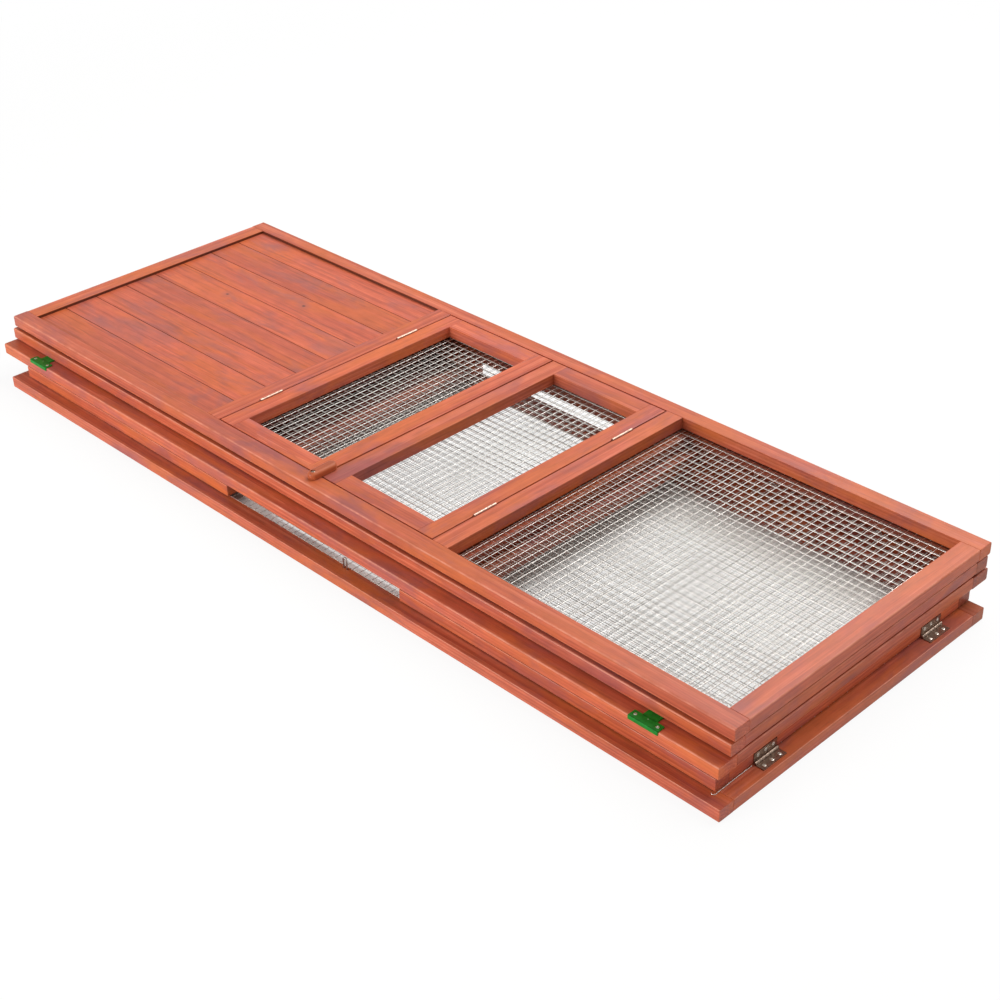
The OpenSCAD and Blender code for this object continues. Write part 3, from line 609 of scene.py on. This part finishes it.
def add_net(name, lower, phase_x, phase_y, wire_mm, steel):
    """A net's lower and upper wires, in the place of its CAD node."""
    low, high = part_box(name)
    rng = random.Random(name)
    radius = wire_mm * MM
    net = Shape()
    for along, phase in ((0, phase_y), (1, phase_x)):
        across = 1 - along
        level = low.z + radius + (0 if along == lower else WIRE_STEP)
        places = wire_places(low[across], high[across], phase)
        add_wires(net, along, places, low[along], high[along], level, rng, radius)
    net.piece(name + "_wires", BODY_OF[name], "wire_net", steel, [name], sharp=80)


for net_name, net_sizes in NETS.items():
    add_net(net_name, *net_sizes)


# Edge wire of the floor net, which has come out under the right end wall

EDGE_WIRE_R = 0.42 * MM
# From the wall's hinge round the net's corner, in mm out from the net's right and back from its front
EDGE_WIRE_PATH = ((0.7, 61.0), (0.8, 32.0), (1.4, 2.0), (1.8, -4.0), (0.9, -6.6), (-1.5, -7.4),
                  (-3.2, -6.2))


def add_edge_wire():
    low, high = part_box("base_floor_net")
    path = [(high.x + out * MM, low.y + back * MM, low.z + EDGE_WIRE_R) for out, back in EDGE_WIRE_PATH]
    wire = Shape()
    add_tube(wire, path, EDGE_WIRE_R, sides=8)
    wire.piece("base_floor_net_edge_wire", "base", "wire_net", LIT_NET_STEEL, sharp=80)


add_edge_wire()


# Staples that hold the nets

UP, DOWN = 1, -1
# Each net: height of the crown in mm, distance in from the net's edge in mm, and the legs' direction
STAPLED = {"base_floor_net": (1.55, 1.6, DOWN), "right_end_net": (0.15, 4.0, UP),
           "roof_net": (1.6, 4.0, DOWN), "back_wall_net": (1.6, 4.0, DOWN),
           "front_wall_net": (0.15, 4.0, UP), "left_door_net": (0.15, 4.0, UP),
           "right_door_net": (0.15, 4.0, UP)}
STAPLE_R = 0.3 * MM
STAPLE_W = 10 * MM
STAPLE_LEG = 1.6 * MM
STAPLE_STEP = 90 * MM


def staple_path(along, middle, side_at, crown_z, leg_z):
    """The bent wire of one staple: leg, crown, leg."""
    path = []
    for offset, z in ((-1, leg_z), (-1, crown_z), (1, crown_z), (1, leg_z)):
        point = [0.0, 0.0, z]
        point[along] = middle + offset * STAPLE_W / 2
        point[1 - along] = side_at
        path.append(point)
    return path


def add_staples(name, crown, inset, legs):
    """Rows of staples along a net's four edges."""
    low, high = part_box(name)
    staples = Shape()
    crown_z = low.z + crown * MM
    leg_z = crown_z + legs * STAPLE_LEG
    for along in (0, 1):
        across = 1 - along
        length = high[along] - low[along]
        count = max(2, round(length / STAPLE_STEP))
        for side_at in (low[across] + inset * MM, high[across] - inset * MM):
            for index in range(count):
                middle = low[along] + length * (index + 0.5) / count
                path = staple_path(along, middle, side_at, crown_z, leg_z)
                add_tube(staples, path, STAPLE_R, sides=5)
    staples.piece(name + "_staples", BODY_OF[name], "screw_steel", SCREW_STEEL, sharp=80)


for net_name, staple_sizes in STAPLED.items():
    add_staples(net_name, *staple_sizes)


# Screws

HEAD_SIDES = 32
HEAD_RIM = 0.5 * MM
# Rings of a screw's head, and its cross slots' half width, reach and depth, as shares of its radius
HEAD_RINGS = (1.0, 1.0, 0.88, 0.74, 0.6, 0.46, 0.33, 0.2, 0.08)
SLOT_HALF_W, SLOT_REACH, SLOT_DEPTH = 0.15, 0.62, 0.36
# How much shallower the slots are at their ends
SLOT_RISE = 0.5


def add_screw(shape, at, normal, radius, dome, turn):
    """Head of a cross-head screw, its rim at the point, its dome along the normal and its cross
    turned by that angle."""
    normal = Vector(normal)
    side = normal.orthogonal().normalized()
    up = normal.cross(side)
    verts = []
    for k, share in enumerate(HEAD_RINGS):
        for i in range(HEAD_SIDES):
            angle = 2 * math.pi * i / HEAD_SIDES
            x, y = share * math.cos(angle), share * math.sin(angle)
            slot_x = abs(math.cos(turn) * x + math.sin(turn) * y)
            slot_y = abs(math.cos(turn) * y - math.sin(turn) * x)
            height = dome * (1 - share * share) if k else -HEAD_RIM
            if k and min(slot_x, slot_y) < SLOT_HALF_W and max(slot_x, slot_y) < SLOT_REACH:
                height -= SLOT_DEPTH * radius * (1 - SLOT_RISE * max(slot_x, slot_y))
            verts.append(Vector(at) + radius * (x * side + y * up) + height * normal)
    shape.add(verts, bridge(len(HEAD_RINGS), HEAD_SIDES))


# Screws of the end walls' hinges: in the base's leaves, which are CAD nodes, and in the walls'

LEAF_SCREWS = 3
LEAF_SCREW_R, LEAF_SCREW_DOME = 2.6 * MM, 0.45 * MM
END_HINGE_L = 42 * MM
END_HINGE_OFF = 166 * MM
LEAF_SCREW_FROM_PIN = 8 * MM
# From the pin's middle to a leaf's outer face: the knuckle's radius less the leaf's thickness
LEAF_OUT = 2.5 * MM - 1.2 * MM
# Each wall's pin along X, and the side of it that is the outside
PINS = {"left_end_wall": (-696.75 * MM, -1), "right_end_wall": (740.25 * MM, 1)}
PIN_Y, PIN_Z = -6.4 * MM, 20.5 * MM
# The screws' crosses are turned by up to this much, and the walls' ones further by the second
LEAF_TURN, WALL_TURN = 1.5, 0.5


def add_hinge_screws():
    """Heads of the base's screws in place of their CAD node, and the walls' whole screws."""
    rng = random.Random("screws")
    base_screws = Shape()
    wall_screws = {wall: Shape() for wall in PINS}
    for wall, (pin_x, outward) in PINS.items():
        for hinge_side in (-1, 1):
            for index in range(LEAF_SCREWS):
                y = PIN_Y + hinge_side * END_HINGE_OFF
                y += (index - (LEAF_SCREWS - 1) / 2) * END_HINGE_L / LEAF_SCREWS
                turn = rng.uniform(0, LEAF_TURN)
                flat_at = (pin_x + outward * LEAF_SCREW_FROM_PIN, y, PIN_Z - LEAF_OUT)
                add_screw(base_screws, flat_at, (0, 0, 1), LEAF_SCREW_R, LEAF_SCREW_DOME, turn)
                upright_at = (pin_x - outward * LEAF_OUT, y, PIN_Z + LEAF_SCREW_FROM_PIN)
                add_screw(wall_screws[wall], upright_at, (outward, 0, 0), LEAF_SCREW_R,
                          LEAF_SCREW_DOME, turn + WALL_TURN)
    base_screws.piece("base_hinge_screw_heads", "base", "screw_steel", SCREW_STEEL,
                      ["base_hinge_screws"], sharp=50)
    for wall, screws in wall_screws.items():
        screws.piece(wall + "_hinge_screws", wall, "screw_steel", SCREW_STEEL, sharp=50)


add_hinge_screws()


# Green edge clips

CLIP_L, CLIP_W, CLIP_T = 46 * MM, 12 * MM, 1.4 * MM
CLIP_BEVEL, CLIP_CORNER, CLIP_LIP = 0.25 * MM, 1.5 * MM, 0.6 * MM
CLIP_EDGES = (0.2 * MM, 0.65 * MM, 0.3 * MM, 0.2 * MM)
TAB_W, TAB_CORNER, TAB_LAP = 22 * MM, 1.0 * MM, 1 * MM
PLATE_STEPS = 4
CLIP_HOLE_OFF = 17 * MM
CLIP_SCREW_R, CLIP_SCREW_DOME, CLIP_SCREW_SUNK = 2.5 * MM, 0.5 * MM, 0.1 * MM
# How much the screws' crosses are turned on the left and on the right of a clip
CLIP_TURNS = {-1: 0.1, 1: 0.7}
# The small screw in a clip's middle, a little behind the others
PIP_R, PIP_DOME, PIP_SUNK, PIP_BACK, PIP_TURN = 1.2 * MM, 0.4 * MM, 0.2 * MM, 3 * MM, 0.2


def corner_points(outline, radius):
    """An outline with each of its corners rounded."""
    corners = [Vector(corner) for corner in outline]
    points = []
    for i, corner in enumerate(corners):
        backward = (corners[i - 1] - corner).normalized()
        forward = (corners[(i + 1) % len(corners)] - corner).normalized()
        for k in range(PLATE_STEPS + 1):
            share = k / PLATE_STEPS
            points.append(corner + backward * radius * (1 - share) ** 2 + forward * radius * share ** 2)
    return points


def add_plate(shape, x0, y0, x1, y1, low_z, high_z, radius):
    """A flat plate with rounded corners and a small bevel round its top."""
    points = corner_points([(x0, y0), (x1, y0), (x1, y1), (x0, y1)], radius)
    middle = Vector(((x0 + x1) / 2, (y0 + y1) / 2))
    half = (max(p.x for p in points) - min(p.x for p in points)) / 2
    shrunk = [middle + (p - middle) * (1 - CLIP_BEVEL / half) for p in points]
    verts = []
    for ring, z in ((points, low_z), (points, high_z - CLIP_BEVEL), (shrunk, high_z)):
        verts += [(p.x, p.y, z) for p in ring]
    shape.add(verts, bridge(3, len(points)))


def add_clip(clips, screws, middle, low, high):
    """One clip: a plate with a tab on the roof's front rail, and a plate down the rail's edge."""
    left, right = middle - CLIP_L / 2, middle + CLIP_L / 2
    edge_y = low.y + CLIP_T
    face_z = high.z - CLIP_T
    plate_back = edge_y + CLIP_W
    add_plate(clips, left, low.y + CLIP_LIP, right, plate_back, face_z, high.z, CLIP_CORNER)
    add_plate(clips, middle - TAB_W / 2, plate_back - TAB_LAP, middle + TAB_W / 2, high.y, face_z,
              high.z, TAB_CORNER)
    add_board(clips, Vector((left, low.y, low.z)), Vector((right, edge_y, high.z)), 0, CLIP_EDGES,
              random.Random(1))
    screw_y = edge_y + CLIP_W / 2
    for sign, turn in CLIP_TURNS.items():
        at = (middle + sign * CLIP_HOLE_OFF, screw_y, high.z - CLIP_SCREW_SUNK)
        add_screw(screws, at, (0, 0, 1), CLIP_SCREW_R, CLIP_SCREW_DOME, turn)
    at = (middle, screw_y + PIP_BACK, high.z - PIP_SUNK)
    add_screw(screws, at, (0, 0, 1), PIP_R, PIP_DOME, PIP_TURN)


def add_clips():
    low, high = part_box("roof_edge_clips")
    clips, screws = Shape(), Shape()
    for middle in (low.x + CLIP_L / 2, high.x - CLIP_L / 2):
        add_clip(clips, screws, middle, low, high)
    clips.piece("roof_edge_clips_moulded", "roof", "green_plastic", GREEN, ["roof_edge_clips"],
                flat=True)
    screws.piece("roof_edge_clip_screws", "roof", "screw_steel", SCREW_STEEL, sharp=50)


add_clips()


# Wire catch

CATCH_R = 1.2 * MM
CATCH_STEPS = 12


def add_catch():
    """A wire bent to a loop, upright on the base's front rail."""
    low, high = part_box("base_catch")
    middle = (low + high) / 2
    bend = (high.x - low.x) / 2 - CATCH_R
    path = [(middle.x - bend, middle.y, low.z)]
    for index in range(CATCH_STEPS + 1):
        angle = math.pi * (1 - index / CATCH_STEPS)
        path.append((middle.x + bend * math.cos(angle), middle.y,
                     high.z - CATCH_R - bend * (1 - math.sin(angle))))
    path.append((middle.x + bend, middle.y, low.z))
    catch = Shape()
    add_tube(catch, path, CATCH_R, sides=14)
    catch.piece("base_catch_wire", "base", "catch_wire", CATCH_STEEL, ["base_catch"], sharp=60)


add_catch()


# Turn button and its screw

BUTTON_STEPS = 14
BUTTON_CHAMFER = 0.6 * MM
BUTTON_ROUND, ROUND_STEPS = 4.2 * MM, 5
HEAD_ROOM = 0.15 * MM
# Down from the top of the screw: the floor of the button's recess, the head's rim, and the shank
RECESS_DOWN, RIM_DOWN, SHANK_DOWN = 2.2 * MM, 1.0 * MM, 1.4 * MM
BUTTON_DOME, BUTTON_TURN = 1.3 * MM, 0.5
SHANK_R = 2 * MM
# The button's place in its tree, in metres along it, across the pith and below it, and how much of its
# own length its grain runs through
BUTTON_TREE, BUTTON_STRETCH = (3, 0.012, 0.02), 0.6
BUTTON_TONE = 0.35


def stadium(centre_x, y0, y1, radius):
    """Outline of a bar with round ends."""
    points = []
    for end_y, first in ((y1, 0.0), (y0, math.pi)):
        for i in range(BUTTON_STEPS + 1):
            angle = first + math.pi * i / BUTTON_STEPS
            points.append((centre_x + radius * math.cos(angle), end_y + radius * math.sin(angle)))
    return points


def button_layers(low_z, high_z):
    """Insets and heights of a button's outline, from its underside round to its top."""
    layers = [(BUTTON_CHAMFER, low_z), (0.0, low_z + BUTTON_CHAMFER)]
    for index in range(ROUND_STEPS + 1):
        angle = index / ROUND_STEPS * math.pi / 2
        layers.append((BUTTON_ROUND * (1 - math.cos(angle)),
                       high_z - BUTTON_ROUND * (1 - math.sin(angle))))
    return layers


def add_button():
    """The turned button, with the recess of its screw's head near its front end."""
    low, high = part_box("turn_button")
    screw_low, screw_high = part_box("turn_button_screw")
    radius, middle = (high.x - low.x) / 2, (high.x + low.x) / 2
    front, back = low.y + radius, high.y - radius
    recess_r = (screw_high.x - screw_low.x) / 2 + HEAD_ROOM
    layers = button_layers(low.z, high.z)
    verts = []
    for inset, z in layers:
        verts += [(x, y, z) for x, y in stadium(middle, front, back, radius - inset)]
    rim = stadium(middle, front, back, radius)
    for z in (high.z, screw_high.z - RECESS_DOWN):
        for x, y in rim:
            angle = math.atan2(y - front, x - middle)
            verts.append((middle + recess_r * math.cos(angle), front + recess_r * math.sin(angle), z))
    along, across, below = BUTTON_TREE
    grain = [(y * BUTTON_STRETCH + along, x - middle + across, z - low.z + below) for x, y, z in verts]
    button = Shape()
    button.add(verts, bridge(len(layers) + 2, len(rim)), grain, BUTTON_TONE)
    button.piece("turn_button_wood", "turn_button", "button_wood", BUTTON_WOOD, ["turn_button"],
                 sharp=40)


def add_button_screw():
    """The button's screw, whose head lies in the recess."""
    low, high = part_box("turn_button_screw")
    x, y = (low.x + high.x) / 2, (low.y + high.y) / 2
    screw = Shape()
    add_screw(screw, (x, y, high.z - RIM_DOWN), (0, 0, 1), (high.x - low.x) / 2, BUTTON_DOME,
              BUTTON_TURN)
    add_tube(screw, [(x, y, low.z), (x, y, high.z - SHANK_DOWN)], SHANK_R, sides=16)
    screw.piece("turn_button_screw_head", "button_screw", "screw_steel", HINGE_ZINC_PAINTED_REFLECTION,
                ["turn_button_screw"], sharp=50)


add_button()
add_button_screw()


# Studio

# Sizes of the floor are in metres. The camera and the gloss see some of it as plain white, and the
# rest as the lit floor, with its shadow
FLOOR_HALF, FLOOR_DROP = 12.0, 0.5 * MM
# The object's own area of the floor: its middle and half its size along X and along Y
OBJECT_X, OBJECT_Y = (0.02, 0.72), (-0.015, 0.25)
# Share of white past that area, where it starts to rise, and where the floor is all white
NEAR_SHARE = 0.9
NEAR_REACH, FAR_REACH = 1.1, 2.6
# Painted light: share of white under the doors, as if lit through the nets, where it starts along X,
# and where it ends
DOORS_SHARE, DOORS_FROM, DOORS_TO = 0.82, (-0.11, -0.075), 0.22
# Painted light: share of white in the run, as if lit through the nets, past a painted shadow of its
# left side and of the back rail
RUN_SHARE, RUN_FROM, RUN_BACK = 0.56, (0.27, 0.33), (0.175, 0.125)
# Share of both that is left next to the front rail, where the floor is shown in painted shadow, and
# where it ends
FRONT_SHARE, FRONT_EDGE = 0.1, (-0.231, -0.2255)
WORLD_STRENGTH = 0.54


def floor_share(nodes):
    """Share of plain white in the floor, as the camera and the gloss see it, with painted light under
    the doors and in the run.
    """
    at = nodes.node("ShaderNodeTexCoord").outputs["Object"]
    x, y, _ = nodes.node("ShaderNodeSeparateXYZ", {0: at}).outputs
    own = nodes.maths("MULTIPLY", nodes.maths("COMPARE", x, *OBJECT_X),
                      nodes.maths("COMPARE", y, *OBJECT_Y))
    reach = nodes.node("ShaderNodeVectorMath", {0: at}, operation="LENGTH").outputs["Value"]
    past = nodes.maths("MULTIPLY", nodes.maths("SUBTRACT", 1.0, own),
                       nodes.span(reach, NEAR_REACH, FAR_REACH, NEAR_SHARE, 1.0))
    under_doors = nodes.maths("MULTIPLY", nodes.span(x, *DOORS_FROM, 0.0, DOORS_SHARE),
                              nodes.maths("LESS_THAN", x, DOORS_TO))
    in_run = nodes.maths("MULTIPLY", nodes.span(x, *RUN_FROM, 0.0, RUN_SHARE), nodes.span(y, *RUN_BACK))
    bright = nodes.maths("MULTIPLY", nodes.maths("MAXIMUM", under_doors, in_run),
                         nodes.span(y, *FRONT_EDGE, FRONT_SHARE, 1.0))
    path = nodes.node("ShaderNodeLightPath")
    seen = nodes.maths("MAXIMUM", path.outputs["Is Camera Ray"], path.outputs["Is Glossy Ray"])
    return nodes.maths("MULTIPLY", seen, nodes.maths("MAXIMUM", past, bright))


def floor_material():
    """Pale floor, cloudy like paper, with its share of plain white."""
    nodes = Nodes("studio_floor")
    at = nodes.node("ShaderNodeTexCoord").outputs["Object"]
    cloud = nodes.noise(at, (3.0, 3.0, 3.0), 2.0)
    nodes.surface(Base_Color=nodes.mix(cloud, (0.86, 0.85, 0.82), (0.90, 0.89, 0.86)), Roughness=0.9)
    white = nodes.node("ShaderNodeEmission", {"Color": (1, 1, 1, 1), "Strength": 1.0})
    mixed = nodes.node("ShaderNodeMixShader", {0: floor_share(nodes), 1: nodes.shader.outputs[0],
                                               2: white.outputs[0]})
    output = nodes.tree.nodes["Material Output"]
    nodes.tree.links.new(mixed.outputs[0], output.inputs["Surface"])
    return nodes.material


def add_floor():
    mesh = bpy.data.meshes.new("floor")
    corners = ((-1, -1), (1, -1), (1, 1), (-1, 1))
    mesh.from_pydata([(x * FLOOR_HALF, y * FLOOR_HALF, -FLOOR_DROP) for x, y in corners], [],
                     [(0, 1, 2, 3)])
    mesh.materials.append(floor_material())
    floor = bpy.data.objects.new("floor", mesh)
    bpy.context.scene.collection.objects.link(floor)


def add_softbox(name, at, target, size, power):
    """A rectangular lamp that faces the target. Places and sizes are in metres, power in watts."""
    light = bpy.data.lights.new(name, "AREA")
    light.shape = "RECTANGLE"
    light.size, light.size_y = size
    light.energy = power
    obj = bpy.data.objects.new(name, light)
    bpy.context.scene.collection.objects.link(obj)
    obj.location = at
    obj.rotation_mode = "QUATERNION"
    obj.rotation_quaternion = (Vector(target) - Vector(at)).to_track_quat("-Z", "Y")


def add_world():
    """White world, which the camera and the gloss see at full strength."""
    world = bpy.data.worlds.new("studio")
    bpy.context.scene.world = world
    world.use_nodes = True
    tree = world.node_tree
    background = tree.nodes["Background"]
    background.inputs["Color"].default_value = (1, 1, 1, 1)
    path = tree.nodes.new("ShaderNodeLightPath")
    level = tree.nodes.new("ShaderNodeMapRange")
    level.inputs["To Min"].default_value = WORLD_STRENGTH
    seen = tree.nodes.new("ShaderNodeMath")
    seen.operation = "MAXIMUM"
    tree.links.new(path.outputs["Is Camera Ray"], seen.inputs[0])
    tree.links.new(path.outputs["Is Glossy Ray"], seen.inputs[1])
    tree.links.new(seen.outputs[0], level.inputs["Value"])
    tree.links.new(level.outputs[0], background.inputs["Strength"])


def add_camera():
    """The camera that the photograph was taken with, fitted to the frames' corners."""
    target = Vector((0.2157, -0.08343, 0.0973))
    azimuth, elevation, roll = 0.8104212668, 0.5655301106, -0.0286437
    distance, focal_px, image_px = 2.3435165, 1753.587, 1000
    back = Vector((math.sin(azimuth) * math.cos(elevation), -math.cos(azimuth) * math.cos(elevation),
                   math.sin(elevation)))
    right = Vector((math.cos(azimuth), math.sin(azimuth), 0))
    up = back.cross(right)
    tilted = math.cos(roll) * right + math.sin(roll) * up
    upright = math.cos(roll) * up - math.sin(roll) * right
    data = bpy.data.cameras.new("camera")
    data.sensor_fit = "HORIZONTAL"
    data.sensor_width = 36.0
    data.lens = focal_px / image_px * data.sensor_width
    data.clip_start, data.clip_end = 0.05, 60
    camera = bpy.data.objects.new("camera", data)
    bpy.context.scene.collection.objects.link(camera)
    axes = Matrix((tilted, upright, back)).transposed()
    camera.matrix_world = Matrix.Translation(target + back * distance) @ axes.to_4x4()
    bpy.context.scene.camera = camera


add_floor()
add_world()
add_softbox("overhead", at=(0.1, 1.8, 2.4), target=(0, 0, 0), size=(2.4, 1.8), power=88)
add_softbox("key", at=(-0.6, -2.9, 0.7), target=(0.2, 0, 0.05), size=(1.6, 1.0), power=68)
add_camera()
bpy.context.scene.view_settings.view_transform = "Standard"
